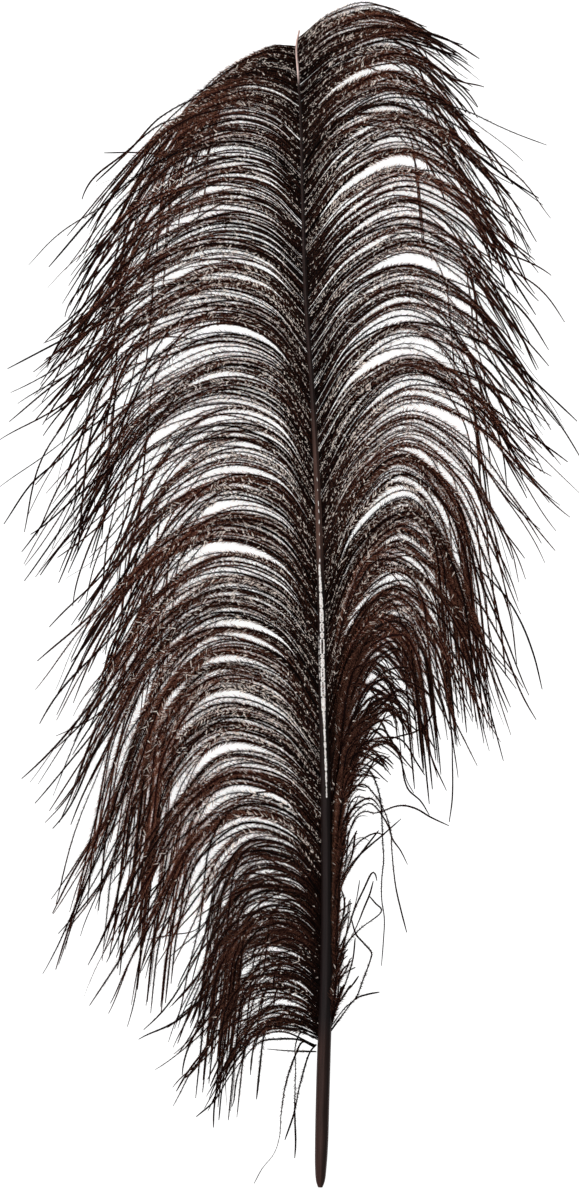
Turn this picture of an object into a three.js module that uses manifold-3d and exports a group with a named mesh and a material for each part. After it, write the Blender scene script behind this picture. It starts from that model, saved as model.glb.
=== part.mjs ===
// A black ostrich plume, lying with its glossy face up: one grown piece, a shaft with a loose vane of barb
// locks on each side. Millimetres, +Z up, +Y from the quill towards the tip. The origin is on the surface that
// the plume lies on, under the middle of the bare quill.
import * as THREE from "three";
import { mergeVertices } from "three/addons/utils/BufferGeometryUtils.js";
import Module from "manifold-3d";

const wasm = await Module();
wasm.setup();

// The shaft: how far it wanders sideways, how high its centre lies and how thick it is, from quill to tip.
const SHAFT = [
  { y: -33, x: -0.9, z: 2.4, width: 2.8 },
  { y: -30, x: -0.8, z: 2.7, width: 4.9 },
  { y: -22, x: -0.6, z: 3.2, width: 6.6 },
  { y: -10, x: -0.2, z: 3.5, width: 7.5 },
  { y: 15, x: 0.4, z: 3.5, width: 7.8 },
  { y: 40, x: 1.1, z: 3.7, width: 7.8 },
  { y: 75, x: 2.3, z: 4.8, width: 7.3 },
  { y: 127, x: 2.8, z: 7.8, width: 6.6 },
  { y: 182, x: 2.2, z: 11.9, width: 5.8 },
  { y: 237, x: 0.6, z: 16.0, width: 5.0 },
  { y: 292, x: -0.5, z: 19.8, width: 4.3 },
  { y: 347, x: -2.4, z: 23.1, width: 3.6 },
  { y: 402, x: -5.2, z: 25.4, width: 2.9 },
  { y: 457, x: -9.0, z: 26.2, width: 2.4 },
  { y: 512, x: -10.7, z: 24.6, width: 1.9 },
  { y: 556, x: -11.8, z: 20.2, width: 1.5 },
  { y: 580, x: -13.1, z: 15.4, width: 1.3 },
  { y: 597, x: -14.0, z: 9.2, width: 1.2 },
  { y: 606, x: -12.5, z: 3.6, width: 1.0 },
];
const SHAFT_SIDES = 12;
const SHAFT_STEPS = 36;

// Each vane: where its barbs leave the shaft (root), how far out and up the top of their arch is, and how far
// out and up their tips end, all from the root. Between these rows a barb's shape changes smoothly.
const LEFT_ARCHES = [
  { root: 48, archOut: 28, archUp: 7, tipOut: 66, tipUp: -43 },
  { root: 71, archOut: 33, archUp: 16, tipOut: 86, tipUp: -62 },
  { root: 94, archOut: 36, archUp: 18, tipOut: 92, tipUp: -58 },
  { root: 126, archOut: 38, archUp: 27, tipOut: 92, tipUp: -74 },
  { root: 154, archOut: 46, archUp: 28, tipOut: 114, tipUp: -88 },
  { root: 182, archOut: 54, archUp: 32, tipOut: 126, tipUp: -100 },
  { root: 204, archOut: 55, archUp: 38, tipOut: 138, tipUp: -105 },
  { root: 236, archOut: 54, archUp: 41, tipOut: 150, tipUp: -80 },
  { root: 264, archOut: 53, archUp: 39, tipOut: 146, tipUp: -72 },
  { root: 292, archOut: 50, archUp: 38, tipOut: 146, tipUp: -48 },
  { root: 325, archOut: 48, archUp: 39, tipOut: 146, tipUp: -50 },
  { root: 358, archOut: 47, archUp: 39, tipOut: 156, tipUp: -48 },
  { root: 402, archOut: 50, archUp: 38, tipOut: 177, tipUp: -68 },
  { root: 435, archOut: 50, archUp: 31, tipOut: 164, tipUp: -60 },
  { root: 462, archOut: 49, archUp: 25, tipOut: 160, tipUp: -72 },
  { root: 500, archOut: 43, archUp: 22, tipOut: 144, tipUp: -58 },
  { root: 539, archOut: 38, archUp: 18, tipOut: 130, tipUp: -63 },
  { root: 566, archOut: 28, archUp: 8, tipOut: 104, tipUp: -60 },
  { root: 597, archOut: 12, archUp: 0, tipOut: 86, tipUp: -57 },
];
const RIGHT_ARCHES = [
  { root: 55, archOut: 10, archUp: 17, tipOut: 22, tipUp: 22 },
  { root: 110, archOut: 14, archUp: 28, tipOut: 25, tipUp: 29 },
  { root: 138, archOut: 18, archUp: 40, tipOut: 36, tipUp: 19 },
  { root: 160, archOut: 23, archUp: 51, tipOut: 46, tipUp: 4 },
  { root: 187, archOut: 28, archUp: 67, tipOut: 57, tipUp: -11 },
  { root: 215, archOut: 30, archUp: 65, tipOut: 81, tipUp: -36 },
  { root: 242, archOut: 34, archUp: 66, tipOut: 100, tipUp: -38 },
  { root: 270, archOut: 41, archUp: 67, tipOut: 104, tipUp: -38 },
  { root: 297, archOut: 40, archUp: 63, tipOut: 113, tipUp: -58 },
  { root: 325, archOut: 45, archUp: 56, tipOut: 122, tipUp: -36 },
  { root: 355, archOut: 50, archUp: 54, tipOut: 136, tipUp: -14 },
  { root: 407, archOut: 48, archUp: 48, tipOut: 150, tipUp: -23 },
  { root: 454, archOut: 53, archUp: 41, tipOut: 132, tipUp: -25 },
  { root: 498, archOut: 51, archUp: 41, tipOut: 129, tipUp: -25 },
  { root: 517, archOut: 48, archUp: 40, tipOut: 135, tipUp: -8 },
  { root: 539, archOut: 47, archUp: 33, tipOut: 106, tipUp: -18 },
  { root: 567, archOut: 47, archUp: 23, tipOut: 105, tipUp: -11 },
  { root: 589, archOut: 44, archUp: 21, tipOut: 107, tipUp: 3 },
  { root: 602, archOut: 38, archUp: 17, tipOut: 78, tipUp: 11 },
];

// Where each vane parts into locks, along the shaft.
const LEFT_PARTINGS = [
  48, 56, 72, 90, 106, 120, 134, 152, 171, 185, 202, 217, 240, 255, 273, 288, 305, 321, 337, 347, 356, 369,
  380, 397, 413, 428, 440, 451, 463, 475, 485, 499, 514, 530, 542, 559, 578, 597,
];
const RIGHT_PARTINGS = [
  55, 68, 82, 95, 108, 121, 130, 140, 160, 176, 193, 211, 226, 241, 252, 263, 286, 298, 316, 331, 350, 360,
  374, 386, 398, 413, 424, 439, 448, 460, 472, 482, 497, 508, 518, 527, 540, 553, 565, 578, 590, 602,
];

// Near the shaft the barbs lie closed, as a web; further out they part into locks. Shares are of a barb's
// length, and a lock's half width is a share of the distance between the partings on either side of it.
const WEB_SHARE = 0.15;
const LOCK_STEPS = 7;
const LOCK_HALF_WIDTH = [0.5, 0.42, 0.4, 0.38, 0.34, 0.28, 0.2, 0.07];
const RIDGE_HALF_THICKNESS = [0.35, 1.5, 1.8, 1.7, 1.5, 1.2, 0.9, 0.5];
const EDGE_HALF_THICKNESS = 0.35;
const REACHES = [1, 0.9, 0.96, 0.86, 0.98, 0.92, 0.88]; // lengths of locks side by side, against the longest
const ARCH_LIFT = 8; // how far a lock rises above the line from its root to its tip
const LAYER_LIFT = 1.6; // every other lock lies this much higher or lower than the web
const TIP_HEIGHT = 0.4; // of a lock's centre where its tip lies on the surface

// The value at share t of an evenly spaced list.
function along(list, t) {
  const place = Math.min(Math.max(t, 0), 1) * (list.length - 1);
  const i = Math.min(Math.floor(place), list.length - 2);
  return THREE.MathUtils.lerp(list[i], list[i + 1], place - i);
}

// The rows as a smooth function of one of their numbers.
function profile(rows, key) {
  const names = Object.keys(rows[0]).filter((name) => name !== key);
  const places = rows.map((row) => row[key]);
  const values = rows.flatMap((row) => names.map((name) => row[name]));
  const curve = new THREE.CubicInterpolant(places, values, names.length);
  return (place) => {
    const found = curve.evaluate(place);
    return Object.fromEntries(names.map((name, i) => [name, found[i]]));
  };
}

const shaftAt = profile(SHAFT, "y");

function shaftCentre(y) {
  const { x, z } = shaftAt(y);
  return new THREE.Vector3(x, y, z);
}

function shaft() {
  const rod = new THREE.CylinderGeometry(1, 1, 1, SHAFT_SIDES, SHAFT_STEPS, false, Math.PI / SHAFT_SIDES);
  const vertices = rod.getAttribute("position");
  const places = SHAFT.map((row) => row.y);
  const up = new THREE.Vector3(0, 0, 1);
  for (let i = 0; i < vertices.count; i++) {
    const y = along(places, vertices.getY(i) + 0.5);
    const radius = shaftAt(y).width / 2;
    const forward = shaftCentre(y + 1).sub(shaftCentre(y - 1)).normalize();
    const across = new THREE.Vector3().crossVectors(forward, up).normalize();
    const above = new THREE.Vector3().crossVectors(across, forward);
    const place = shaftCentre(y);
    place.addScaledVector(across, vertices.getX(i) * radius);
    place.addScaledVector(above, vertices.getZ(i) * radius);
    vertices.setXYZ(i, place.x, place.y, Math.max(place.z, 0)); // flat where it lies on the surface
  }
  return rod;
}

function solidOf(geometry) {
  geometry.deleteAttribute("normal");
  geometry.deleteAttribute("uv");
  const merged = mergeVertices(geometry, 1e-4);
  const mesh = new wasm.Mesh({
    numProp: 3,
    vertProperties: merged.getAttribute("position").array,
    triVerts: new Uint32Array(merged.index.array),
  });
  return new wasm.Manifold(mesh);
}

function geometryOf(solid) {
  const mesh = solid.getMesh();
  const geometry = new THREE.BufferGeometry();
  geometry.setAttribute("position", new THREE.BufferAttribute(mesh.vertProperties, 3));
  geometry.setIndex(new THREE.BufferAttribute(mesh.triVerts, 1));
  geometry.computeVertexNormals();
  return geometry;
}

// The line of the barbs that leave the shaft at height root, on side -1 (left) or 1 (right): up to the top of
// its arch, then out and down to the tip.
function barbLine(archAt, side, root) {
  const from = shaftCentre(root);
  const { archOut, archUp, tipOut, tipUp } = archAt(root);
  const rising = side < 0 ? 0.76 : 0.65;
  const knot = (out, up, share, lift) => {
    const height = THREE.MathUtils.lerp(from.z, TIP_HEIGHT, share ** 1.5);
    return new THREE.Vector3(from.x + side * out, root + up, height + lift * ARCH_LIFT);
  };
  const beyondArch = (outwards, downwards, share, lift) => {
    const out = THREE.MathUtils.lerp(archOut, tipOut, outwards);
    return knot(out, THREE.MathUtils.lerp(archUp, tipUp, downwards), share, lift);
  };
  return new THREE.CatmullRomCurve3([
    from,
    knot(0.42 * archOut, rising * archUp, 0.15, 0.45),
    knot(archOut, archUp, 0.35, 1),
    beyondArch(0.37, 0.16, 0.55, 0.8),
    beyondArch(0.7, 0.55, 0.78, 0.35),
    knot(tipOut, tipUp, 1, 0),
  ]);
}

// A box bent along the barb lines between two partings: a ridge in the middle, thin at its edges, which meet
// those of its neighbours in the web.
function lock(archAt, side, start, end, number) {
  const blank = new THREE.BoxGeometry(1, 1, 1, LOCK_STEPS, 2, 1);
  const vertices = blank.getAttribute("position");
  for (let i = 0; i < vertices.count; i++) {
    const step = LOCK_STEPS * (0.5 + side * vertices.getX(i));
    const freed = Math.max(step - 1, 0) / (LOCK_STEPS - 1);
    const share = THREE.MathUtils.lerp(WEB_SHARE * Math.min(step, 1), 1, freed);
    const edge = 2 * vertices.getY(i); // -1 and 1 at the partings, 0 on the ridge
    const root = (start + end) / 2 + edge * (end - start) * along(LOCK_HALF_WIDTH, freed);
    const reach = THREE.MathUtils.lerp(1, REACHES[number % REACHES.length], freed);
    const place = barbLine(archAt, side, root).getPointAt(share * reach);
    const halfThickness = edge === 0 ? along(RIDGE_HALF_THICKNESS, share) : EDGE_HALF_THICKNESS;
    const lift = LAYER_LIFT * (number % 2 ? -1 : 1) * Math.sin(Math.PI * freed);
    place.z += lift + 2 * vertices.getZ(i) * halfThickness;
    vertices.setXYZ(i, place.x, place.y, Math.max(place.z, 0));
  }
  return blank;
}

function vane(arches, partings, side) {
  const archAt = profile(arches, "root");
  const locks = partings.slice(1).map((end, i) => solidOf(lock(archAt, side, partings[i], end, i)));
  return locks.reduce((joined, next) => joined.add(next));
}

function feather() {
  const left = vane(LEFT_ARCHES, LEFT_PARTINGS, -1);
  const right = vane(RIGHT_ARCHES, RIGHT_PARTINGS, 1);
  const solid = solidOf(shaft()).add(left).add(right);
  const barbBlack = new THREE.MeshStandardMaterial({ color: 0x2b1a17, roughness: 0.6, metalness: 0 });
  const mesh = new THREE.Mesh(geometryOf(solid), barbBlack);
  mesh.name = "feather";
  return mesh;
}

const plume = new THREE.Group();
plume.add(feather());
export default plume;
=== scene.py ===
"""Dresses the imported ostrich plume: the dark quill and shaft, and every barb of both vanes with its barbules.

The barbs follow the same lines as the solid's locks. Sizes are in millimetres until a mesh is made.
"""
import math
from dataclasses import dataclass

import bpy
import numpy as np
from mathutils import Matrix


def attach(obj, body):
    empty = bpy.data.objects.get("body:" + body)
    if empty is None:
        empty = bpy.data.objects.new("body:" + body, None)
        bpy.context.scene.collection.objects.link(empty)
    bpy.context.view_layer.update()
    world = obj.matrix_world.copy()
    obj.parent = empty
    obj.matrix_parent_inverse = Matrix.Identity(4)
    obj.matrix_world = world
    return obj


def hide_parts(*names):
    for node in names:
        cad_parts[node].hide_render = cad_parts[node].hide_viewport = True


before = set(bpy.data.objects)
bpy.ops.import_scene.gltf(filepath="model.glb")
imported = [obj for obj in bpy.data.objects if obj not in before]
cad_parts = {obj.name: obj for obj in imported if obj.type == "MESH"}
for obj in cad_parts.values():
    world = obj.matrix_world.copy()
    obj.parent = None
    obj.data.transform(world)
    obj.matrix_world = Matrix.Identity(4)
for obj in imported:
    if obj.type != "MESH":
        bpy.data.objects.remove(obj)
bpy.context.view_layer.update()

MM = 0.001
LEFT, RIGHT = -1, 1
SEED, LOCK_SEED = 1851, 77
random = np.random.default_rng(SEED)

# The shaft, from quill to tip: place along it, how far it wanders sideways, the height of its centre, and its
# width.
SHAFT = np.array([
    (-33, -0.9, 2.4, 2.8),
    (-30, -0.8, 2.7, 4.9),
    (-22, -0.6, 3.2, 6.6),
    (-10, -0.2, 3.5, 7.5),
    (15, 0.4, 3.5, 7.8),
    (40, 1.1, 3.7, 7.8),
    (75, 2.3, 4.8, 7.3),
    (127, 2.8, 7.8, 6.6),
    (182, 2.2, 11.9, 5.8),
    (237, 0.6, 16.0, 5.0),
    (292, -0.5, 19.8, 4.3),
    (347, -2.4, 23.1, 3.6),
    (402, -5.2, 25.4, 2.9),
    (457, -9.0, 26.2, 2.4),
    (512, -10.7, 24.6, 1.9),
    (556, -11.8, 20.2, 1.5),
    (580, -13.1, 15.4, 1.3),
    (597, -14.0, 9.2, 1.2),
    (606, -12.5, 3.6, 1.0),
])
SHAFT_ROWS, SHAFT_SIDES = 560, 40
SHAFT_FILL = 0.97  # the dressed shaft's share of the solid's width
SQUARENESS = 2.6  # 2 would be a round section, and more is squarer
GROOVE_DEPTH = 0.06  # of the groove on each side of the ridge, as a share of half the shaft's width
GROOVE_PLACE, GROOVE_WIDTH = 0.42, 0.16  # in radians around the shaft from its ridge
QUILL_BULGE, TIP_BULGE = 0.4, 0.3  # how far the middles of the two ends stand out

# Each vane: where its barbs leave the shaft, how far out and up the top of their arch is, and their tips.
LEFT_ARCHES = np.array([
    (48, 28, 7, 66, -43),
    (71, 33, 16, 86, -62),
    (94, 36, 18, 92, -58),
    (126, 38, 27, 92, -74),
    (154, 46, 28, 114, -88),
    (182, 54, 32, 126, -100),
    (204, 55, 38, 138, -105),
    (236, 54, 41, 150, -80),
    (264, 53, 39, 146, -72),
    (292, 50, 38, 146, -48),
    (325, 48, 39, 146, -50),
    (358, 47, 39, 156, -48),
    (402, 50, 38, 177, -68),
    (435, 50, 31, 164, -60),
    (462, 49, 25, 160, -72),
    (500, 43, 22, 144, -58),
    (539, 38, 18, 130, -63),
    (566, 28, 8, 104, -60),
    (597, 12, 0, 86, -57),
])
RIGHT_ARCHES = np.array([
    (55, 10, 17, 22, 22),
    (110, 14, 28, 25, 29),
    (138, 18, 40, 36, 19),
    (160, 23, 51, 46, 4),
    (187, 28, 67, 57, -11),
    (215, 30, 65, 81, -36),
    (242, 34, 66, 100, -38),
    (270, 41, 67, 104, -38),
    (297, 40, 63, 113, -58),
    (325, 45, 56, 122, -36),
    (355, 50, 54, 136, -14),
    (407, 48, 48, 150, -23),
    (454, 53, 41, 132, -25),
    (498, 51, 41, 129, -25),
    (517, 48, 40, 135, -8),
    (539, 47, 33, 106, -18),
    (567, 47, 23, 105, -11),
    (589, 44, 21, 107, 3),
    (602, 38, 17, 78, 11),
])

# In between, a barb's line passes through knots: one on its way out and up to the top of its arch, and others
# from there on to its tip. Each has two shares of that way, a share of the length, and one of ARCH_LIFT, by
# which the arch stands above a plain fall from the shaft to the tip.
CLIMBING = {LEFT: (0.42, 0.76, 0.15, 0.45), RIGHT: (0.42, 0.65, 0.15, 0.45)}
FALLING = [(0, 0, 0.35, 1), (0.37, 0.16, 0.55, 0.8), (0.7, 0.55, 0.78, 0.35), (1, 1, 1, 0)]
ARCH_LIFT = 8
TIP_HEIGHT = 0.4
CURVE_STEPS = 16  # from one knot of a line to the next
LATE = 1.5  # the power of its share of length by which a barb falls and swings

# Where each vane parts into locks, along the shaft, and the partings that gape, where the surface shows.
LEFT_PARTINGS = np.array([
    48, 56, 72, 90, 106, 120, 134, 152, 171, 185, 202, 217, 240, 255, 273, 288, 305, 321, 337, 347, 356, 369,
    380, 397, 413, 428, 440, 451, 463, 475, 485, 499, 514, 530, 542, 559, 578, 597,
])
RIGHT_PARTINGS = np.array([
    55, 68, 82, 95, 108, 121, 130, 140, 160, 176, 193, 211, 226, 241, 252, 263, 286, 298, 316, 331, 350, 360,
    374, 386, 398, 413, 424, 439, 448, 460, 472, 482, 497, 508, 518, 527, 540, 553, 565, 578, 590, 602,
])
LEFT_GAPS = (106, 134, 202, 217, 240, 255, 305, 337, 356, 397, 440, 485, 499)
RIGHT_GAPS = (252, 298, 316, 360, 398, 424, 439, 497, 508, 553, 565)
GAPING, CLOSED = (1.2, 3.0), (0, 0.8)  # the least and most that a lock draws back from a parting

# How locks differ, from the least to the most: the factor by which they are longer, how far their tips swing
# along the shaft, how much higher they lie, and the share of their vane's spread of droop that they take.
LOCK_REACH, LOCK_SWING, LOCK_LIFT, LOCK_DROOP = (0.94, 1.04), (-5, 5), (-1.5, 2.5), (-0.5, 0.5)

# Along each vane: the degrees by which barbs hang lower than their lock's line, how widely that varies, the
# factor by which they are longer, how crowded they are, the share that strays, how much more down they have
# towards their tips, how much shorter than the longest the shortest are, and the degrees by which they sag.
LEFT_TEMPER = np.array([
    (48, 0, 16, 0.85, 2.8, 0.7, 0.5, 0.7, 0),
    (75, 2, 20, 1.02, 2.7, 0.75, 0.6, 0.75, 2),
    (105, 3, 20, 1.04, 2.8, 0.7, 0.8, 0.8, 8),
    (124, 3, 20, 1.02, 2.7, 0.7, 0.8, 0.8, 20),
    (136, 3, 16, 1.05, 2.2, 0.45, 0.9, 0.55, 3),
    (152, 3, 14, 1.07, 1.5, 0.22, 0.9, 0.4, 0),
    (190, 4, 14, 1.08, 1.8, 0.25, 0.9, 0.3, 0),
    (260, 5, 14, 1.06, 1.5, 0.25, 0.6, 0.2, 0),
    (330, 5, 14, 1.02, 1.4, 0.28, 0.2, 0.16, 0),
    (440, 6, 14, 0.97, 1.35, 0.28, 0.1, 0.2, 0),
    (545, 6, 11, 1.0, 1.6, 0.22, 0.1, 0.22, 2),
    (597, 10, 6, 0.92, 2.6, 0.2, 0.1, 0.22, 15),
])
RIGHT_TEMPER = np.array([
    (55, -35, 12, 0.65, 1.6, 0.4, 0.2, 0.4, 0),
    (110, -32, 12, 0.7, 2.4, 0.3, 0.3, 0.4, 0),
    (150, -24, 12, 0.75, 2.9, 0.3, 0.5, 0.4, 0),
    (190, -10, 18, 0.78, 2.9, 0.45, 0.6, 0.45, 0),
    (232, 4, 20, 0.92, 2.6, 0.5, 0.6, 0.5, 0),
    (262, 11, 15, 1.12, 1.9, 0.3, 0.5, 0.3, 0),
    (330, 7, 13, 1.02, 1.25, 0.28, 0.2, 0.16, 0),
    (440, 7, 13, 1.0, 1.25, 0.28, 0.1, 0.16, 0),
    (560, 5, 10, 1.0, 2.0, 0.22, 0.1, 0.22, 0),
    (602, 6, 6, 0.84, 2.8, 0.2, 0.1, 0.22, 0),
])

# Barbs that have come away from their locks: the way each takes over the surface, from the shaft to its tip.
LOOSE_LEFT = [
    [(-3.5, 45.5), (-10.5, 47.5), (-14.5, 40.5), (-20, 24), (-22.5, 7.5), (-23.5, -5.5), (-26.5, -14.5),
     (-33, -23), (-37.5, -31.5)],
    [(-4.5, 49.5), (-11, 53), (-14.5, 46), (-14.5, 33), (-15, 11), (-14.5, -9), (-15, -17.5)],
    [(-3, 46), (-6.5, 42), (-12, 24), (-15.5, 7.5), (-20.5, -7.5)],
    [(-3, 42), (-17.5, 42.5), (-30.5, 43)],
    [(-4, 44.5), (-12, 48.5), (-25.5, 49), (-34, 47.5), (-43, 38.5), (-51.5, 27.5), (-59.5, 14.5),
     (-69.5, 5.5)],
    [(-5, 46), (-21, 53), (-32, 51.5), (-40.5, 46), (-49.5, 38.5), (-56.5, 27.5), (-59.5, 11), (-60, -0.5)],
    [(-5.5, 50.5), (-23, 60.5), (-39.5, 54), (-50, 37.5), (-53, 27.5), (-53, 18.5), (-52.5, 11)],
    [(-4.5, 55), (-21, 65), (-38.5, 57), (-50.5, 39.5), (-55, 22), (-57, 3.5)],
    [(-3.5, 99), (-16.5, 121), (-25.5, 125), (-34, 126), (-40.5, 124), (-49.5, 116.5), (-56, 110),
     (-65, 100), (-72.5, 90)],
    [(-3.5, 110), (-14.5, 126.5), (-27.5, 133), (-40.5, 136.5), (-49.5, 136), (-54, 132), (-57, 121),
     (-60.5, 109)],
    [(-3.5, 126.5), (-17.5, 142), (-32, 138.5), (-33.5, 128.5), (-36.5, 113.5)],
    [(-3, 80), (-17.5, 113), (-28.5, 119), (-40.5, 116.5), (-45, 110), (-51.5, 93.5)],
    [(-3.5, 154), (-23, 184.5), (-45, 181.5), (-64.5, 154), (-75, 142), (-89, 135.5), (-100, 125.5),
     (-112, 117)],
    [(-3.5, 126.5), (-23, 157), (-45, 147.5), (-60.5, 118.5), (-70.5, 109), (-82.5, 106.5), (-97, 103.5)],
    [(-13, 511.5), (-34, 531.5), (-56, 534.5), (-78, 535), (-100, 538), (-120.5, 539)],
    [(-14, 539), (-33, 566.5), (-64.5, 567.5), (-89, 556.5), (-105.5, 540), (-125, 523)],
    [(-10, 440), (-34, 470.5), (-61.5, 474), (-89, 462), (-133, 440), (-174, 419.5)],
    [(-7.5, 368.5), (-20.5, 390.5), (-39.5, 403.5), (-59, 408), (-83.5, 407), (-110.5, 397),
     (-130.5, 383.5), (-143.5, 370), (-160.5, 355.5), (-176, 333.5)],
    [(-9.5, 393.5), (-23, 421), (-39, 430), (-64, 433.5), (-87, 436), (-103, 431), (-112, 415.5)],
    [(-10, 434.5), (-33, 462), (-67, 465), (-100, 445.5), (-127.5, 410), (-154, 390)],
]
LOOSE_RIGHT = [
    [(-10.5, 484), (10, 531), (40, 555.5), (65, 550), (92.5, 531), (122.5, 510)],
    [(-10.5, 480.5), (12.5, 528), (43, 552), (68, 544.5), (93.5, 524.5), (110.5, 507)],
    [(-3.5, 269.5), (15.5, 313.5), (43, 330), (73, 318), (98, 297), (109, 280.5), (117, 261), (122, 242)],
    [(-2, 236.5), (15.5, 280.5), (40, 297), (65, 286), (81.5, 264), (91, 236.5), (100.5, 202.5)],
    [(4, 126.5), (12.5, 154), (18.5, 171.5), (23.5, 175), (29, 174), (34.5, 175.5), (40, 177.5),
     (45.5, 178), (52.5, 176), (60, 171.5), (70.5, 166.5)],
    [(4, 132), (12.5, 165), (21, 177), (26, 179.5), (29, 178), (33, 173), (37, 166), (39, 159.5),
     (43.5, 153), (47.5, 145)],
    [(3.5, 148.5), (12.5, 181.5), (22, 190), (31, 181.5), (37.5, 166), (38.5, 154), (39.5, 143), (41, 132),
     (43.5, 121), (47, 107.5)],
    [(3.5, 159.5), (12.5, 190), (24, 199), (31, 187), (33.5, 157.5), (34, 148.5), (33, 137.5), (33, 126.5),
     (34.5, 115.5), (34, 102.5), (33, 89)],
    [(5, 93.5), (10.5, 132), (15.5, 143), (23.5, 154), (31.5, 164)],
    [(5, 91), (11, 135), (16.5, 146), (25.5, 155), (33.5, 161.5), (44, 170.5)],
    [(5, 77), (10.5, 97.5), (15.5, 113), (18.5, 122), (22.5, 130.5), (28, 141), (29.5, 140), (30.5, 136)],
    [(5, 71.5), (12.5, 98), (19, 111), (23.5, 122), (26.5, 129), (28.5, 136)],
    [(5, 80), (12.5, 100), (20.5, 109.5), (33, 120), (29.5, 124), (26, 128)],
    [(4.5, 55), (12.5, 66), (18.5, 71.5), (23, 82.5), (26.5, 92), (27.5, 96.5), (23, 102), (19, 106.5),
     (16, 116.5)],
    [(4.5, 60.5), (12.5, 78.5), (17, 92.5), (18.5, 104.5)],
    [(4.5, 53), (10, 60.5), (19, 71.5), (25, 73.5), (32, 74.5)],
    [(4.5, 55), (10.5, 71.5), (17, 79), (20.5, 83.5)],
    [(5, 71.5), (9, 87), (14, 110), (16, 125)],
    [(5, 66), (10, 93.5), (16, 115.5), (19, 125.5), (21, 136.5)],
    [(5, 104.5), (7, 124), (10, 132), (12, 128), (12.5, 120), (11.5, 115.5)],
    [(-0.5, 198), (15.5, 225.5), (34.5, 242), (48, 240), (54, 225.5), (61, 203.5), (69, 186)],
    [(0.5, 170.5), (15.5, 203.5), (38, 215), (53.5, 220), (61, 228.5), (62.5, 235.5)],
    [(2, 154), (15.5, 187), (31, 202), (38, 205)],
    [(0.5, 170.5), (15.5, 208), (32, 215.5), (43.5, 214.5), (52.5, 201.5), (57, 194.5)],
    [(0.5, 168), (15.5, 205.5), (31, 215.5), (38, 213.5), (43.5, 203.5), (45.5, 192.5), (48, 186.5),
     (54.5, 180.5), (59.5, 172.5)],
    [(0.5, 173), (16.5, 209), (32, 213.5), (41, 208), (45, 198), (47, 191.5), (51, 184.5)],
    [(-1, 214.5), (16.5, 264), (43, 278), (62, 258.5), (70.5, 225.5), (72, 199), (72, 181.5),
     (70.5, 168.5)],
]
LOOSE_LIFT = 2
LOOSE_FRINGE, LOOSE_GIRTH = 0.6, 1.2
LOOSE_PLACES = 400  # along each one's path

# Barbs: how far apart they leave the shaft, and their profiles against share of length.
BARB_PITCH = 1.53
ROOT_PLACE = 0.36  # how far beside the shaft's centre line they leave it, as a share of its width
RIB_STEP, FEWEST_STEPS = 1.6, 8  # from station to station, and in the shortest barb
BARBULES_PER_STEP = 3  # on each edge of a rib
SHARES = [0, 0.1, 0.22, 0.4, 0.55, 0.7, 0.85, 0.95, 1]
RIB_WIDTH = [0.96, 0.92, 0.84, 0.62, 0.6, 0.78, 0.88, 0.75, 0.4]
BARBULE_LENGTH = [1.8, 2.3, 3.1, 3.4, 3.2, 2.6, 1.9, 1.2, 0.6]
BARBULE_ANGLE = np.radians([20, 25, 36, 44, 42, 34, 26, 20, 12])
BARBULE_FOOT = [1, 1, 0.95, 0.85, 0.8, 0.7, 0.65, 0.55, 0.5]  # as a share of the room that each one has
BARBULES_KEPT = [0.97, 0.97, 0.94, 0.82, 0.74, 0.68, 0.6, 0.45, 0.25]
PARTING = [0, 0.02, 0.2, 0.85, 0.95, 0.5, 0, -0.2, -0.3]  # how far it has joined its lock
GATHERING = [0, 0.04, 0.14, 0.42, 0.68, 0.8, 0.85, 0.88, 0.9]  # and its clump
DROOPING = [0, 0, 0.05, 0.25, 0.6, 0.95, 1.2, 1.35, 1.4]
FANNING = [0, 0, 0.1, 0.3, 0.55, 0.85, 1, 1.1, 1.2]
SAGGING = [0, 0.1, 0.5, 1.1, 1, 0.6, 0.2, 0, 0]
PIECE_BOUNDS = np.array([0, 0.28, 0.6, 1])  # where a vane is cut into pieces, as shares of the way along it
STEEPEST = math.radians(84)  # how far down from straight outwards a barb turns
LOWEST, HIGHEST = 0.12, 32.4  # heights above the surface that all barbs stay between
FARTHEST = {LEFT: 172, RIGHT: 151}  # how far outwards from its root a barb reaches at most

# How barbs differ. One number is the spread of a normal draw, and two are the least and the most. A clump's
# droop is a share of its vane's spread of droop, and swing is in mm, sag and fan in degrees.
ROOT_JITTER = (0.25, 0.75)  # of the room that a barb has on the shaft
SOWING_STEPS = 200
LOCK_BLUR = 0.7  # how far along the shaft a barb may be on the wrong side of a parting
LEAST_ROOM = 0.25  # the share of its width that a lock keeps at least when it draws back
NEW_CLUMP = 0.28  # how often a barb begins a new clump
CLUMP_REACH = (0.9, 1.04)
CLUMP_DROOP, CLUMP_DROOP_LIMITS = 0.75, (-0.55, 1.8)
CLUMP_SWING, CLUMP_SAG = 2.5, 6
STRAY_HOLD = 0.3  # how far a stray barb follows its lock
GATHER, STRAY_GATHER = (0.3, 1.05), 0.15  # how far barbs go to their clump's middle, and strays' factor
SAG, STRAY_SAG, SAG_LIMITS = 3.5, 9, (-7, 20)
STRAY_SWING = 8
SHORT_ONES_RARE = 1.5  # more is rarer
FAN, STRAY_FAN, STRAY_FAN_MEAN, FAN_LIMITS = 4, 20, 12, (-6, 60)
WAVER, STRAY_WAVER = (2, 9), 2.5  # in degrees towards the tip, and strays' factor
SLOW_WAVE, QUICK_WAVE, QUICK_SHARE = 5, 17, 0.6  # radians from root to tip, and the quick one's part
BARB_LIFT = (-2.5, 2.5)
FRINGE, STRAY_FRINGE = (0.75, 1.15), 0.8
GIRTH = (0.7, 1.35)
DARK_BELOW = {LEFT: 150, RIGHT: 228}  # barbs that leave the shaft lower than this are dark
DARK_BLUR = 12  # how far along the shaft the two mix
ROLL = 0.35  # radians by which a rib is turned about its line
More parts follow.
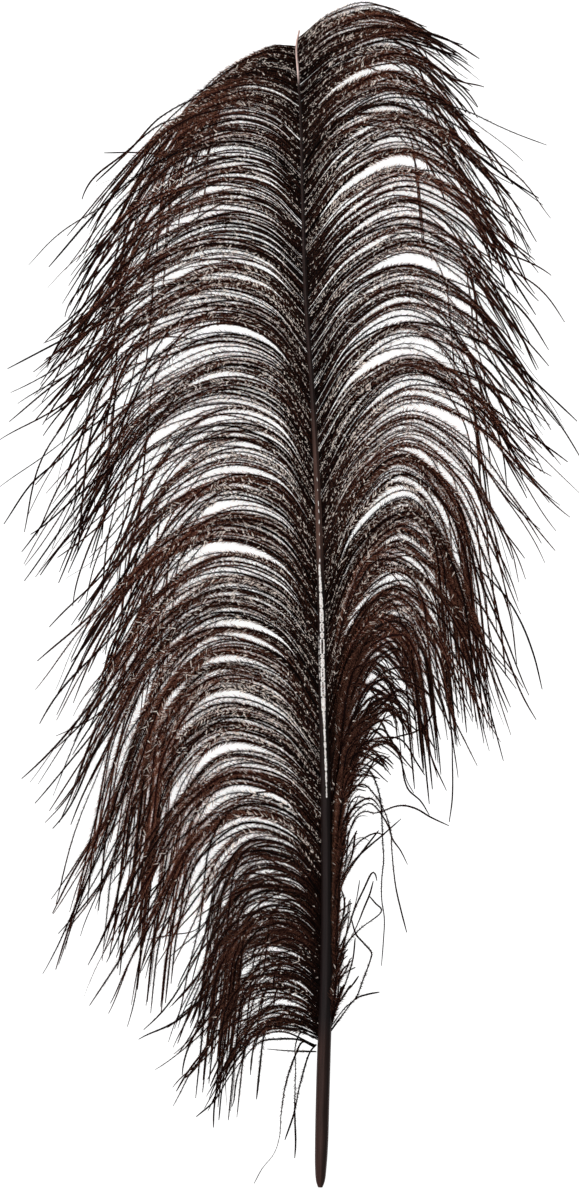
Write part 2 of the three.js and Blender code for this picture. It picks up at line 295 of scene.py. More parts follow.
TWIST, TWIST_WAVE = 0.5, 6  # radians by which it turns to and fro, and of that wave from root to tip

# How barbules differ, in the same way.
RAIL = 0.25  # how far beside the rib's line they stand, as a share of its width
DOWNY_KEPT = 0.5  # how much larger the kept share is at the tip of a barb that is downy by 1
ANGLE_SPREAD = 0.18  # as a share of the angle
TILT = 0.4  # radians out of the plane of the blade
STUBS, STUB_LENGTH, FULL_LENGTH = 0.3, 0.4, (0.75, 1.15)  # the share of stubs, and factors of the length

# The barbs' map: strips side by side, one to a tone, with the roots of the barbs at one end.
STRIPS = 16  # from dark to light
DARK_STRIPS = 5  # the first ones, which dark barbs have
# Painted highlights: barbules in the last strips get a pale colour that stands for light glinting off them.
GLINTING = 2  # how many of them, the last ones, are of barbules that catch the light
GLINTS = [0.13, 0.13, 0.11, 0.07, 0.035, 0.012, 0, 0, 0]  # the share of barbules that do, against SHARES
GLINT_FOOT = 1.9  # how much wider those are
SHEENY, SHEEN = 0.9, (2.6, 0.4)  # barbs thinner than this glint more, and the others less
DARK_SHEEN = 0.15  # and dark ones have only this share of it
MIDDLE = 0.5  # of a strip
RIB_EDGES = (0.44, 0.56)  # across a strip
BARBULE_OFFSETS = np.array([0.03, 0.06, 0.46])  # of a foot's two ends and the tip, from a strip's middle
BARBULE_RISES = np.array([0, 0.004, 0.002])  # of the same three, along the strip

# The pale strip along the shaft's ridge, a painted highlight laid on as pale flakes: place along the shaft,
# distance from its centre line, and width.
RIDGE_HIGHLIGHT = np.array([
    (183, 0.35, 0.9),
    (200, 0.3, 1.4),
    (222, 0.2, 1.6),
    (230, 0.1, 2.4),
    (250, 0.0, 2.9),
    (270, 0.0, 3.0),
    (288, -0.1, 2.4),
    (300, -0.3, 1.6),
    (311, -0.5, 1.1),
])
# More of the same painted highlight: a short strip near one edge, and flecks above the strip.
EDGE_HIGHLIGHT = np.array([(248, -1.75, 0.4), (260, -1.8, 0.45), (272, -1.75, 0.35)])
HIGHLIGHT_FLECKS = np.array([(308, -0.4, 0.6), (335, 0.2, 0.55), (362, 0.0, 0.35)])
FLAKE_STEP = 0.35
FLAKE_THICKNESS = 0.07
FLAKE_SUNK = 0.2  # how far a flake's edges go into the shaft
FLAKE_BEVEL = 0.15  # how far in from its edges it stands proud, as a share of its width
FLAKE_TAPER, FLAKE_END = 2, 0.25  # the rows over which it narrows at each end, and the width left there
FLAKE_WIDTH = (0.75, 1.1)  # the least and the most, as factors
RAGGEDNESS = 0.09
FLAKE_LIMIT = 0.98  # how far out from the shaft's ridge it gets, as a share of half the shaft's width
HIGHLIGHT_START, HIGHLIGHT_LENGTH, HIGHLIGHT_WIDTH = 183, 180, 5  # the stretch of the shaft that the flakes' map covers


def smooth_rows(rows, at):
    """The columns after the first, as smooth functions of the first, at each place in at."""
    keys, values = rows[:, 0], rows[:, 1:]
    secants = np.diff(values, axis=0) / np.diff(keys)[:, None]
    slopes = np.vstack([secants[:1], (secants[1:] + secants[:-1]) / 2, secants[-1:]])
    at = np.asarray(at, float)
    i = np.clip(np.searchsorted(keys, at, side="right") - 1, 0, len(keys) - 2)
    width = (keys[i + 1] - keys[i])[..., None]
    t = np.clip((at - keys[i])[..., None] / width, 0, 1)
    ahead = t * t * (3 - 2 * t)
    curved = (t * (1 - t) ** 2) * slopes[i] * width - (t * t * (1 - t)) * slopes[i + 1] * width
    return values[i] * (1 - ahead) + values[i + 1] * ahead + curved


def unit(vectors):
    return vectors / np.maximum(np.linalg.norm(vectors, axis=-1, keepdims=True), 1e-9)


def curved_lines(knots):
    """Centripetal Catmull-Rom curves through rows of knots, with CURVE_STEPS places from knot to knot."""
    before = 2 * knots[:, :1] - knots[:, 1:2]
    after = 2 * knots[:, -1:] - knots[:, -2:-1]
    knots = np.concatenate([before, knots, after], axis=1)
    gaps = np.linalg.norm(np.diff(knots, axis=1), axis=2)[..., None] ** 0.5
    t = np.linspace(0, 1, CURVE_STEPS, endpoint=False)[None, :, None]
    drawn = []
    for k in range(knots.shape[1] - 3):
        p0, p1, p2, p3 = (knots[:, k + j] for j in range(4))
        d0, d1, d2 = (gaps[:, k + j] for j in range(3))
        leaving = ((p1 - p0) / d0 - (p2 - p0) / (d0 + d1) + (p2 - p1) / d1) * d1
        arriving = ((p2 - p1) / d1 - (p3 - p1) / (d1 + d2) + (p3 - p2) / d2) * d1
        ahead = t * t * (3 - 2 * t)
        curved = t * (1 - t) ** 2 * leaving[:, None] - t * t * (1 - t) * arriving[:, None]
        drawn.append(p1[:, None] * (1 - ahead) + p2[:, None] * ahead + curved)
    return np.concatenate([*drawn, knots[:, -2:-1]], axis=1)


def bent_lines(knots, count):
    """The curve through each row of knots, as count evenly spaced places, and its length."""
    drawn = curved_lines(knots)
    steps = np.linalg.norm(np.diff(drawn, axis=1), axis=2)
    run = np.concatenate([np.zeros((len(drawn), 1)), np.cumsum(steps, axis=1)], axis=1)
    even = np.empty((len(drawn), count, 3))
    for i, line in enumerate(drawn):
        places = np.linspace(0, run[i, -1], count)
        even[i] = np.stack([np.interp(places, run[i], line[:, axis]) for axis in range(3)], axis=1)
    return even, run[:, -1]


def fallen(start_height, share, lift):
    """How high a barb runs: from the shaft's height down to its tip's, with lift in between."""
    return start_height + (TIP_HEIGHT - start_height) * share**LATE + lift


class Vane:
    """The lines of all the barbs that one side could have, as a sheet over root and share of length."""

    ROOTS, PLACES = 300, 80  # the rows and columns of the sheet

    def __init__(self, side, arches, partings, gaps, temper):
        self.side, self.partings, self.temper = side, partings, temper
        self.first, self.last = arches[0, 0], arches[-1, 0]
        self.settle_locks(np.isin(partings, gaps), np.random.default_rng(LOCK_SEED + side))
        roots = np.linspace(self.first, self.last, self.ROOTS)
        out, up, tip_out, tip_up = smooth_rows(arches, roots).T
        x, z, _ = smooth_rows(SHAFT, roots).T

        def knot(outwards, upwards, share, lift):
            height = fallen(z, share, lift * ARCH_LIFT)
            return np.stack([x + side * outwards, roots + upwards, height], axis=1)

        out_share, up_share, share, lift = CLIMBING[side]
        knots = [knot(0 * out, 0 * up, 0, 0), knot(out_share * out, up_share * up, share, lift)]
        for along, down, share, lift in FALLING:
            knots.append(knot(out + along * (tip_out - out), up + down * (tip_up - up), share, lift))
        self.sheet, self.lengths = bent_lines(np.stack(knots, axis=1), self.PLACES)

    def settle_locks(self, gaping, drawn):
        """How far each lock draws back from its partings, and how it differs from the others."""
        count = len(self.partings)
        self.spare = np.where(gaping, drawn.uniform(*GAPING, count), drawn.uniform(*CLOSED, count))
        self.lock_reach = drawn.uniform(*LOCK_REACH, count)
        self.lock_swing = drawn.uniform(*LOCK_SWING, count)
        self.lock_lift = drawn.uniform(*LOCK_LIFT, count)
        self.lock_droop = drawn.uniform(*LOCK_DROOP, count)

    def place(self, root, share):
        """Where the barb line of each root is at each share of its length."""
        across = np.clip((root - self.first) / (self.last - self.first), 0, 1) * (self.ROOTS - 1)
        along = np.clip(share, 0, 1) * (self.PLACES - 1)
        i = np.minimum(across.astype(int), self.ROOTS - 2)
        j = np.minimum(along.astype(int), self.PLACES - 2)
        u, v = (across - i)[:, None], (along - j)[:, None]
        near = self.sheet[i, j] * (1 - v) + self.sheet[i, j + 1] * v
        far = self.sheet[i + 1, j] * (1 - v) + self.sheet[i + 1, j + 1] * v
        return near * (1 - u) + far * u

    def length(self, root):
        return np.interp(root, np.linspace(self.first, self.last, self.ROOTS), self.lengths)


@dataclass
class Strands:
    """Lines of stations, one line after another."""

    centre: np.ndarray
    owner: np.ndarray  # the line that each station is of
    share: np.ndarray  # how far along its line each station is
    fringe: np.ndarray  # each line's factor for the length of its barbules
    downy: np.ndarray  # how much more down each line has towards its tip
    girth: np.ndarray  # each line's factor for the width of its rib
    roll: np.ndarray  # how far its blade is turned
    strip: np.ndarray  # its tone
    sheen: np.ndarray  # its factor for how many of its barbules glint


def stations_of(lengths):
    """For lines of these lengths: each station's line and its share of it, and each line's first station."""
    counts = np.maximum(np.ceil(lengths / RIB_STEP).astype(int), FEWEST_STEPS) + 1
    owner = np.repeat(np.arange(len(counts)), counts)
    first = np.cumsum(counts) - counts
    share = (np.arange(len(owner)) - first[owner]) / (counts[owner] - 1)
    return owner, share, first


def running_totals(first, owner, values):
    """The sum of each line's values, from its first station up to each of its stations."""
    totals = np.cumsum(values, axis=0)
    return totals - totals[first][owner]


def sow(vane, low, high):
    """Where barbs leave the shaft between low and high, closer together where the vane is crowded."""
    fine = np.linspace(low, high, SOWING_STEPS)
    crowd = smooth_rows(vane.temper, fine)[:-1, 3]
    sown = np.concatenate([[0], np.cumsum(crowd * np.diff(fine))]) / BARB_PITCH
    count = int(sown[-1])
    return np.interp(np.arange(count) + random.uniform(*ROOT_JITTER, count), sown, fine)


def locked(vane, roots):
    """Each barb's lock, and the place along the shaft whose line it takes once the locks have drawn back."""
    lock = np.searchsorted(vane.partings, roots + random.normal(0, LOCK_BLUR, len(roots))) - 1
    lock = np.clip(lock, 0, len(vane.partings) - 2)
    low, high = vane.partings[lock], vane.partings[lock + 1]
    room = np.clip(1 - (vane.spare[lock] + vane.spare[lock + 1]) / (high - low), LEAST_ROOM, 1)
    return lock, low + vane.spare[lock] + (roots - low) * room


def clumped(parted):
    """What each barb has from its clump: its middle, and how it droops, reaches, swings and sags."""
    clump = np.cumsum(random.random(len(parted)) < NEW_CLUMP)
    clumps = clump[-1] + 1
    middle = np.bincount(clump, parted, clumps) / np.maximum(np.bincount(clump, minlength=clumps), 1)
    droop = np.clip(random.normal(0, CLUMP_DROOP, clumps), *CLUMP_DROOP_LIMITS)
    reach = random.uniform(*CLUMP_REACH, clumps)
    swing = random.normal(0, CLUMP_SWING, clumps)
    sag = random.normal(0, CLUMP_SAG, clumps)
    return [ways[clump] for ways in (middle, droop, reach, swing, sag)]


def habits_of(vane, roots):
    """Each barb's own ways: where it lies in its lock and clump, and how it droops, fans out and wavers."""
    count = len(roots)
    droop, spread, longer, _, straying, downy, uneven, sagging = smooth_rows(vane.temper, roots).T
    lock, parted = locked(vane, roots)
    middle, clump_droop, clump_reach, clump_swing, clump_sag = clumped(parted)
    stray = random.random(count) < straying
    gather = random.uniform(*GATHER, count) * np.where(stray, STRAY_GATHER, 1)
    sag = clump_sag + random.normal(0, 1, count) * np.where(stray, STRAY_SAG, SAG)
    swing = vane.lock_swing[lock] + clump_swing + straying * random.normal(0, STRAY_SWING, count)
    shortened = 1 - uneven * random.random(count) ** SHORT_ONES_RARE
    fan = random.normal(0, FAN, count)
    fan += np.where(stray, random.normal(STRAY_FAN_MEAN, STRAY_FAN, count), 0)
    return {
        "parted": np.where(stray, roots * (1 - STRAY_HOLD) + parted * STRAY_HOLD, parted),
        "middle": middle,
        "gather": gather,
        "sag": sagging + np.clip(sag, *SAG_LIMITS),
        "swing": swing,
        "reach": longer * vane.lock_reach[lock] * clump_reach * shortened,
        "droop": droop + spread * (vane.lock_droop[lock] + clump_droop),
        "fan": np.clip(fan, *FAN_LIMITS),
        "waver": random.uniform(*WAVER, count) * np.where(stray, STRAY_WAVER, 1),
        "lift": vane.lock_lift[lock] + random.uniform(*BARB_LIFT, count),
        "fringe": random.uniform(*FRINGE, count) * np.where(stray, STRAY_FRINGE, 1),
        "downy": downy,
    }


def gathered(own, root, share):
    """Where along the vane each station takes its line from, as its barb joins its lock and its clump."""
    line = root + (own["parted"] - root) * np.interp(share, SHARES, PARTING)
    line += (own["middle"] - line) * own["gather"] * np.interp(share, SHARES, GATHERING)
    return line + own["swing"] * share**LATE


def bends(own, owner, share, count):
    """The degrees by which each station heads lower than its line."""
    phase = random.uniform(0, 2 * math.pi, (2, count))[:, owner]
    wave = np.sin(phase[0] + SLOW_WAVE * share) + QUICK_SHARE * np.sin(phase[1] + QUICK_WAVE * share)
    bend = own["droop"] * np.interp(share, SHARES, DROOPING)
    bend += own["fan"] * np.interp(share, SHARES, FANNING)
    bend += own["sag"] * np.interp(share, SHARES, SAGGING)
    return bend + own["waver"] * share * wave


def grown(vane, low, high):
    """The strands of the barbs that leave one side of the shaft between low and high."""
    roots = sow(vane, low, high)
    habits = habits_of(vane, roots)
    owner, share, first = stations_of(habits["reach"] * vane.length(roots))
    own = {name: values[owner] for name, values in habits.items()}

    centre = vane.place(gathered(own, roots[owner], share), share * np.minimum(own["reach"], 1))
    steps = np.diff(centre[:, :2], axis=0, prepend=centre[:1, :2])
    steps[first] = 0
    pace = np.hypot(*steps.T) * np.maximum(own["reach"], 1)
    heading = np.arctan2(-steps[:, 1], vane.side * steps[:, 0])
    heading = np.clip(heading + np.radians(bends(own, owner, share, len(roots))), -STEEPEST, STEEPEST)
    turned = pace[:, None] * np.stack([vane.side * np.cos(heading), -np.sin(heading)], axis=1)
    path = running_totals(first, owner, turned)
    reached = np.maximum.reduceat(vane.side * path[:, 0], first)
    path *= np.minimum(1, FARTHEST[vane.side] / reached)[owner, None]
    centre[:, :2] = centre[first][owner, :2] + path
    centre[:, 0] += vane.side * ROOT_PLACE * smooth_rows(SHAFT, roots)[owner, 2]
    centre[:, 2] += own["lift"] * np.sin(math.pi * share)

    girth = random.uniform(*GIRTH, len(roots))
    dark = roots + random.normal(0, DARK_BLUR, len(roots)) < DARK_BELOW[vane.side]
    return finished(centre, owner, share, habits["fringe"], habits["downy"], girth, dark)


def laid(paths):
    """The strands of single barbs that run over the surface along given paths."""
    lines, lengths = [], []
    for path in paths:
        flat = np.array(path, float)
        share = np.linspace(0, 1, len(flat))
        height = fallen(smooth_rows(SHAFT, flat[0, 1])[1], share, LOOSE_LIFT * np.sin(math.pi * share))
        line, length = bent_lines(np.column_stack([flat, height])[None], LOOSE_PLACES)
        lines.append(line[0])
        lengths.append(length[0])
    owner, share, _ = stations_of(np.array(lengths))
    centre = np.empty((len(owner), 3))
    even = np.linspace(0, 1, LOOSE_PLACES)
    for i, line in enumerate(lines):
        mine = owner == i
        for axis in range(3):
            centre[mine, axis] = np.interp(share[mine], even, line[:, axis])
    every = np.ones(len(paths))
    return finished(centre, owner, share, LOOSE_FRINGE * every, 0 * every, LOOSE_GIRTH * every, every > 0)


def finished(centre, owner, share, fringe, downy, girth, dark):
    """The strands of these lines, with a tone, a sheen and a roll drawn for each."""
    count = len(fringe)
    strip = random.integers(0, np.where(dark, DARK_STRIPS, STRIPS - GLINTING), count)
    sheen = np.where(girth < SHEENY, *SHEEN) * np.where(dark, DARK_SHEEN, 1)
    roll = random.normal(0, ROLL, count)
    return Strands(centre, owner, share, fringe, downy, girth, roll, strip, sheen)


def directions(strands):
    """At each station: the way ahead, and the rib's wide and thin directions, which turn as it goes."""
    owner, centre = strands.owner, strands.centre
    inner = owner[2:] == owner[:-2]
    forward = np.diff(centre, axis=0, append=centre[-1:])
    backward = np.diff(centre, axis=0, prepend=centre[:1])
    starts = np.concatenate([[True], owner[1:] != owner[:-1]])
    ahead = np.where(starts[:, None], forward, backward)
    ahead[1:-1][inner] = centre[2:][inner] - centre[:-2][inner]
    ahead = unit(ahead)
    across = unit(np.cross(ahead, (0, 0, 1.0)))
    above = np.cross(across, ahead)
    phase = random.uniform(0, 2 * math.pi, len(strands.roll))
    turn = (strands.roll[owner] + TWIST * np.sin(phase[owner] + TWIST_WAVE * strands.share))[:, None]
    blade = across * np.cos(turn) + above * np.sin(turn)
    return ahead, blade, above * np.cos(turn) - across * np.sin(turn)


def barbule_feet(strands, blade, sign, slot):
    """The stations with a barbule in this slot, whether it glints, and both ends of its foot on the rib."""
    here = np.flatnonzero(strands.owner[:-1] == strands.owner[1:])
    share = strands.share[here]
    kept = np.interp(share, SHARES, BARBULES_KEPT) + DOWNY_KEPT * strands.downy[strands.owner[here]] * share
    here = here[random.random(len(here)) < kept]
    share, owner, count = strands.share[here], strands.owner[here], len(here)
    glinting = random.random(count) < np.interp(share, SHARES, GLINTS) * strands.sheen[owner]
    foot = np.interp(share, SHARES, BARBULE_FOOT)
    start = (slot + random.uniform(0, 1, count) * (1 - foot)) / BARBULES_PER_STEP
    foot *= np.where(glinting, GLINT_FOOT, 1)
    reach = RAIL * np.interp(share, SHARES, RIB_WIDTH) * strands.girth[owner]
    rail = strands.centre[here] + sign * reach[:, None] * blade[here]
    rail_end = strands.centre[here + 1] + sign * reach[:, None] * blade[here + 1]
    near = rail + (rail_end - rail) * start[:, None]
    far = near + (rail_end - rail) * (foot / BARBULES_PER_STEP)[:, None]
    return here, glinting, near, far


def barbule_fringe(strands, ahead, blade, over, sign, slot):
    """One barbule to a step of each rib, as three points each and their places on the map."""
    here, glinting, near, far = barbule_feet(strands, blade, sign, slot)
    share, owner, count = strands.share[here], strands.owner[here], len(here)
    angle = (np.interp(share, SHARES, BARBULE_ANGLE) * random.normal(1, ANGLE_SPREAD, count))[:, None]
    tilt = random.normal(0, TILT, count)[:, None]
    factor = np.where(random.random(count) < STUBS, STUB_LENGTH, random.uniform(*FULL_LENGTH, count))
    length = np.interp(share, SHARES, BARBULE_LENGTH) * strands.fringe[owner] * factor
    length = (length * (1 + strands.downy[owner] * share))[:, None]
    outwards = sign * blade[here] * np.cos(tilt) + over[here] * np.sin(tilt)
    tip = near + length * (ahead[here] * np.cos(angle) + outwards * np.sin(angle))
    strip = np.where(glinting, random.integers(STRIPS - GLINTING, STRIPS, count), strands.strip[owner])
    u = (strip[:, None] + MIDDLE + sign * BARBULE_OFFSETS) / STRIPS
    v = share[:, None] + BARBULE_RISES
    order = [0, 1, 2] if sign < 0 else [0, 2, 1]  # so that both fringes face the same way
    corners = np.stack((near, far, tip), axis=1)[:, order]
    places = np.stack([u, v], axis=2)[:, order]
    return corners.reshape(-1, 3), places.reshape(-1, 2)


def downy_mesh(strands):
    """Ribs as narrow ribbons with a fringe of barbules on both edges, as points, triangles and map places."""
    ahead, blade, over = directions(strands)
    half = (np.interp(strands.share, SHARES, RIB_WIDTH) * strands.girth[strands.owner] / 2)[:, None]
    total = len(strands.owner)
    left = np.flatnonzero(strands.owner[:-1] == strands.owner[1:])
    right = left + total
    ribs = np.concatenate([
        np.stack([left, right, right + 1], axis=1),
        np.stack([left, right + 1, left + 1], axis=1),
    ])
    points = [strands.centre - blade * half, strands.centre + blade * half]
    places = []
    for edge in RIB_EDGES:
        places.append(np.stack([(strands.strip[strands.owner] + edge) / STRIPS, strands.share], axis=1))
    for sign in (-1, 1):
        for slot in range(BARBULES_PER_STEP):
            corners, corner_places = barbule_fringe(strands, ahead, blade, over, sign, slot)
            points.append(corners)
            places.append(corner_places)
    points, places = np.concatenate(points), np.concatenate(places)
    points[:, 2] = np.clip(points[:, 2], LOWEST, HIGHEST)
    barbules = np.arange(2 * total, len(points)).reshape(-1, 3)
    return points, np.concatenate([ribs, barbules]), np.clip(places, 0, 1)


def piece(name, points, triangles, places, material, slot):
    """One piece of the feather, as a mesh of triangles with its map."""
    mesh = bpy.data.meshes.new(name)
    mesh.vertices.add(len(points))
    mesh.vertices.foreach_set("co", (points * MM).astype(np.float32).ravel())
    mesh.loops.add(triangles.size)
    mesh.loops.foreach_set("vertex_index", triangles.astype(np.int32).ravel())
    mesh.polygons.add(len(triangles))
    mesh.polygons.foreach_set("loop_start", np.arange(0, triangles.size, 3, dtype=np.int32))
    layer = mesh.uv_layers.new(name="OFBake")
    layer.uv.foreach_set("vector", places[triangles.ravel()].astype(np.float32).ravel())
    mesh.update(calc_edges=True)
    mesh.materials.append(material)
    made = bpy.data.objects.new(name, mesh)
    bpy.context.collection.objects.link(made)
    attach(made, "root")
    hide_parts("feather")
    return made


def split_quads(a, b, c, d):
    """Two triangles for each set of four corners."""
    return np.concatenate([
        np.stack([a, d, c], axis=-1).reshape(-1, 3),
        np.stack([a, c, b], axis=-1).reshape(-1, 3),
    ])


def shaft_frame(places):
    """The shaft's centre and half width at places along it, and the ways ahead, across and above there."""
    x, z, width = smooth_rows(SHAFT, places).T
    centre = np.stack([x, places, z], axis=1)
    ahead = unit(np.gradient(centre, axis=0))
    across = unit(np.cross(ahead, (0, 0, 1.0)))
    return centre, width / 2 * SHAFT_FILL, ahead, across, np.cross(across, ahead)


def shaft_rings(centre, half, across, above):
    """Rounded square sections, with a shallow groove on each side of the ridge along their top."""
    angle = np.linspace(0, 2 * math.pi, SHAFT_SIDES, endpoint=False)
    square = (np.abs(np.cos(angle)) ** SQUARENESS + np.abs(np.sin(angle)) ** SQUARENESS) ** (-1 / SQUARENESS)
    groove = GROOVE_DEPTH * np.exp(-((np.abs(angle - math.pi / 2) - GROOVE_PLACE) / GROOVE_WIDTH) ** 2)
    reach = (square - groove)[None, :, None] * half[:, None, None]
    ring = np.cos(angle)[None, :, None] * across[:, None] + np.sin(angle)[None, :, None] * above[:, None]
    points = centre[:, None] + reach * ring
    points[:, :, 2] = np.maximum(points[:, :, 2], 0)
    return points


def shaft_mesh():
    """The shaft from end to end, as points, triangles and places on the map."""
    centre, half, ahead, across, above = shaft_frame(np.linspace(SHAFT[0, 0], SHAFT[-1, 0], SHAFT_ROWS))
    points = shaft_rings(centre, half, across, above)

    # each row's first corner is there twice, so that the map has a seam
    points = np.concatenate([points, points[:, :1]], axis=1)
    wide = SHAFT_SIDES + 1
    grid = np.arange(SHAFT_ROWS * wide).reshape(SHAFT_ROWS, wide)
    walls = split_quads(grid[:-1, :-1], grid[1:, :-1], grid[1:, 1:], grid[:-1, 1:])
    places = np.stack(np.meshgrid(np.linspace(0, 1, wide), np.linspace(0, 1, SHAFT_ROWS)), axis=-1)

    ends = np.array([centre[0] - ahead[0] * QUILL_BULGE, centre[-1] + ahead[-1] * TIP_BULGE])
    end_places = [[0.5, 0], [0.5, 1]]
    hub = SHAFT_ROWS * wide
    quill_end = np.stack([np.full(SHAFT_SIDES, hub), grid[0, 1:], grid[0, :-1]], axis=1)
    tip_end = np.stack([np.full(SHAFT_SIDES, hub + 1), grid[-1, :-1], grid[-1, 1:]], axis=1)
    return (
        np.concatenate([points.reshape(-1, 3), ends]),
        np.concatenate([walls, quill_end, tip_end]),
        np.concatenate([places.reshape(-1, 2), end_places]),
    )


def flake(strip, rows):
    """The four lines of one flake's points, side by side along these rows, and their places on the map."""
    offset, width = smooth_rows(strip, rows).T
    centre, half, _, across, above = shaft_frame(rows)
    count = np.arange(len(rows))
    taper = np.minimum(1, np.minimum(count, count[::-1]) / FLAKE_TAPER + FLAKE_END)
    width = width * taper * random.uniform(*FLAKE_WIDTH)
    left = offset - width / 2 + random.normal(0, RAGGEDNESS, len(rows))
    right = offset + width / 2 + random.normal(0, RAGGEDNESS, len(rows))
    profile = [
        (left, -FLAKE_SUNK),
        (left * (1 - FLAKE_BEVEL) + right * FLAKE_BEVEL, FLAKE_THICKNESS),
        (left * FLAKE_BEVEL + right * (1 - FLAKE_BEVEL), FLAKE_THICKNESS),
        (right, -FLAKE_SUNK),
    ]
    points, places = [], []
    for aside, proud in profile:
        inside = np.clip(np.abs(aside) / half, 0, FLAKE_LIMIT)
        rise = half * (1 - inside**SQUARENESS) ** (1 / SQUARENESS) + proud
        points.append(centre + across * aside[:, None] + above * rise[:, None])
        places.append(np.stack([0.5 + aside / HIGHLIGHT_WIDTH, (rows - HIGHLIGHT_START) / HIGHLIGHT_LENGTH], axis=1))
    return np.concatenate(points), np.concatenate(places)


def flakes(strip, lengths, gaps):
    """Pale plates end to end along a strip of the shaft's ridge, a painted highlight, with ragged edges sunk
    into it.
    """
    parts = []
    low, end = strip[0, 0], strip[-1, 0]
    while low < end:
        high = min(low + random.uniform(*lengths), end)
        rows = np.arange(low, high + FLAKE_STEP, FLAKE_STEP)
        if len(rows) > 2:
            points, places = flake(strip, rows)
            corner = np.arange(len(points)).reshape(-1, len(rows))
            triangles = split_quads(corner[:-1, :-1], corner[:-1, 1:], corner[1:, 1:], corner[1:, :-1])
            parts.append((points, triangles, np.clip(places, 0, 1)))
        low = high + random.uniform(*gaps)
    return joined(*parts)


def joined(*parts):
    """Several sets of points, triangles and places on the map as one."""
    starts = np.cumsum([0] + [len(points) for points, _, _ in parts])
    return (
        np.concatenate([points for points, _, _ in parts]),
        np.concatenate([triangles + start for (_, triangles, _), start in zip(parts, starts)]),
        np.concatenate([places for _, _, places in parts]),
    )


def greys(stops):
    """The stops of a ramp without colour, from pairs of place and brightness."""
    return [(place, (level,) * 3) for place, level in stops]


class Finish:
    """A material, whose nodes are added and joined one call at a time."""

    def __init__(self, name, roughness, specular):
        self.material = bpy.data.materials.new(name)
        self.material.use_nodes = True
        self.nodes, self.links = self.material.node_tree.nodes, self.material.node_tree.links
        self.shader = self.nodes["Principled BSDF"]
        self.shader.inputs["Roughness"].default_value = roughness
        self.shader.inputs["Specular IOR Level"].default_value = specular

    def node(self, kind, output, *values, **settings):
        made = self.nodes.new(kind)
        for name, value in settings.items():
            setattr(made, name, value)
        for socket, value in zip(made.inputs, values):
            if isinstance(value, bpy.types.NodeSocket):
                self.links.new(value, socket)
            else:
                socket.default_value = value
        return made.outputs[output]

    def math(self, operation, *values):
        return self.node("ShaderNodeMath", 0, *values, operation=operation)

    def product(self, value, *factors):
        for factor in factors:
            value = self.math("MULTIPLY", value, factor)
        return value

    def place(self):
        """Both coordinates of the map."""
        both = self.node("ShaderNodeUVMap", 0, uv_map="OFBake")
        apart = self.node("ShaderNodeSeparateXYZ", 0, both).node
        return apart.outputs["X"], apart.outputs["Y"]

    def ramp(self, at, *stops):
        made = self.nodes.new("ShaderNodeValToRGB")
        shades = made.color_ramp.elements
        shades[0].position, shades[1].position = stops[0][0], stops[-1][0]
        shades[0].color, shades[-1].color = (*stops[0][1], 1), (*stops[-1][1], 1)
        for position, colour in stops[1:-1]:
            shades.new(position).color = (*colour, 1)
        self.links.new(at, made.inputs["Fac"])
        return made.outputs["Color"]

    def noise(self, x, y, x_grains, y_grains, detail=2.0):
        """Noise from 0 to 1, with so many grains to each unit of x and of y."""
        at = self.node("ShaderNodeCombineXYZ", 0, self.product(x, x_grains), self.product(y, y_grains))
        made = self.nodes.new("ShaderNodeTexNoise")
        made.inputs["Scale"].default_value = 1
        made.inputs["Detail"].default_value = detail
        self.links.new(at, made.inputs["Vector"])
        return made.outputs["Fac"]

    def between(self, value, low, high):
        """A value from 0 to 1, drawn out to run from low to high."""
        return self.node("ShaderNodeMapRange", 0, value, 0.0, 1.0, low, high)

    def scaled(self, colour, factor):
        made = self.nodes.new("ShaderNodeVectorMath")
        made.operation = "SCALE"
        self.links.new(colour, made.inputs[0])
        self.links.new(factor, made.inputs["Scale"])
        return made.outputs[0]

    def bumped(self, height, strength, depth):
        made = self.nodes.new("ShaderNodeBump")
        made.inputs["Strength"].default_value = strength
        made.inputs["Distance"].default_value = depth
        self.links.new(height, made.inputs["Height"])
        self.links.new(made.outputs["Normal"], self.shader.inputs["Normal"])

    def coloured(self, colour):
        self.links.new(colour, self.shader.inputs["Base Color"])
        return self.material


def barb_finish():
    """Black-brown ribs with redder, paler barbules, partly their own colour and partly painted light shining
    through them, each barb in its strip's tone, and pale glints that are painted highlights.
    """
    finish = Finish("barbs", roughness=0.5, specular=0.03)
    u, v = finish.place()
    strips = finish.product(u, STRIPS)
    tone = finish.math("FLOOR", strips)
    away = finish.math("ABSOLUTE", finish.math("SUBTRACT", finish.math("FRACT", strips), MIDDLE))
    # Redder and paler out along each barbule: partly its own red-brown, and partly painted light that shines
    # through the thin barbules.
    shade = finish.ramp(
        away,
        (0.05, (0.011, 0.0026, 0.0016)),
        (0.13, (0.034, 0.0076, 0.0045)),
        (0.24, (0.155, 0.052, 0.034)),
        (0.46, (0.84, 0.37, 0.23)),
    )
    lightness = finish.between(finish.math("DIVIDE", tone, STRIPS - 1.0), 0.25, 1.5)
    grain = finish.between(finish.noise(tone, v, x_grains=7.3, y_grains=420.0), 0.5, 1.5)
    beside_shaft = finish.ramp(v, *greys([(0.0, 0.25), (0.16, 0.4), (0.42, 0.8), (1.0, 1.0)]))
    strength = finish.product(lightness, grain, beside_shaft)
    # Painted highlight: glinting barbules take a pale colour in place of their own.
    glinting = finish.math("GREATER_THAN", tone, STRIPS - GLINTING - 0.5)
    painted_glint = (0.86, 0.75, 0.67, 1)
    colour = finish.node("ShaderNodeMixRGB", 0, glinting, finish.scaled(shade, strength), painted_glint)
    return finish.coloured(colour)


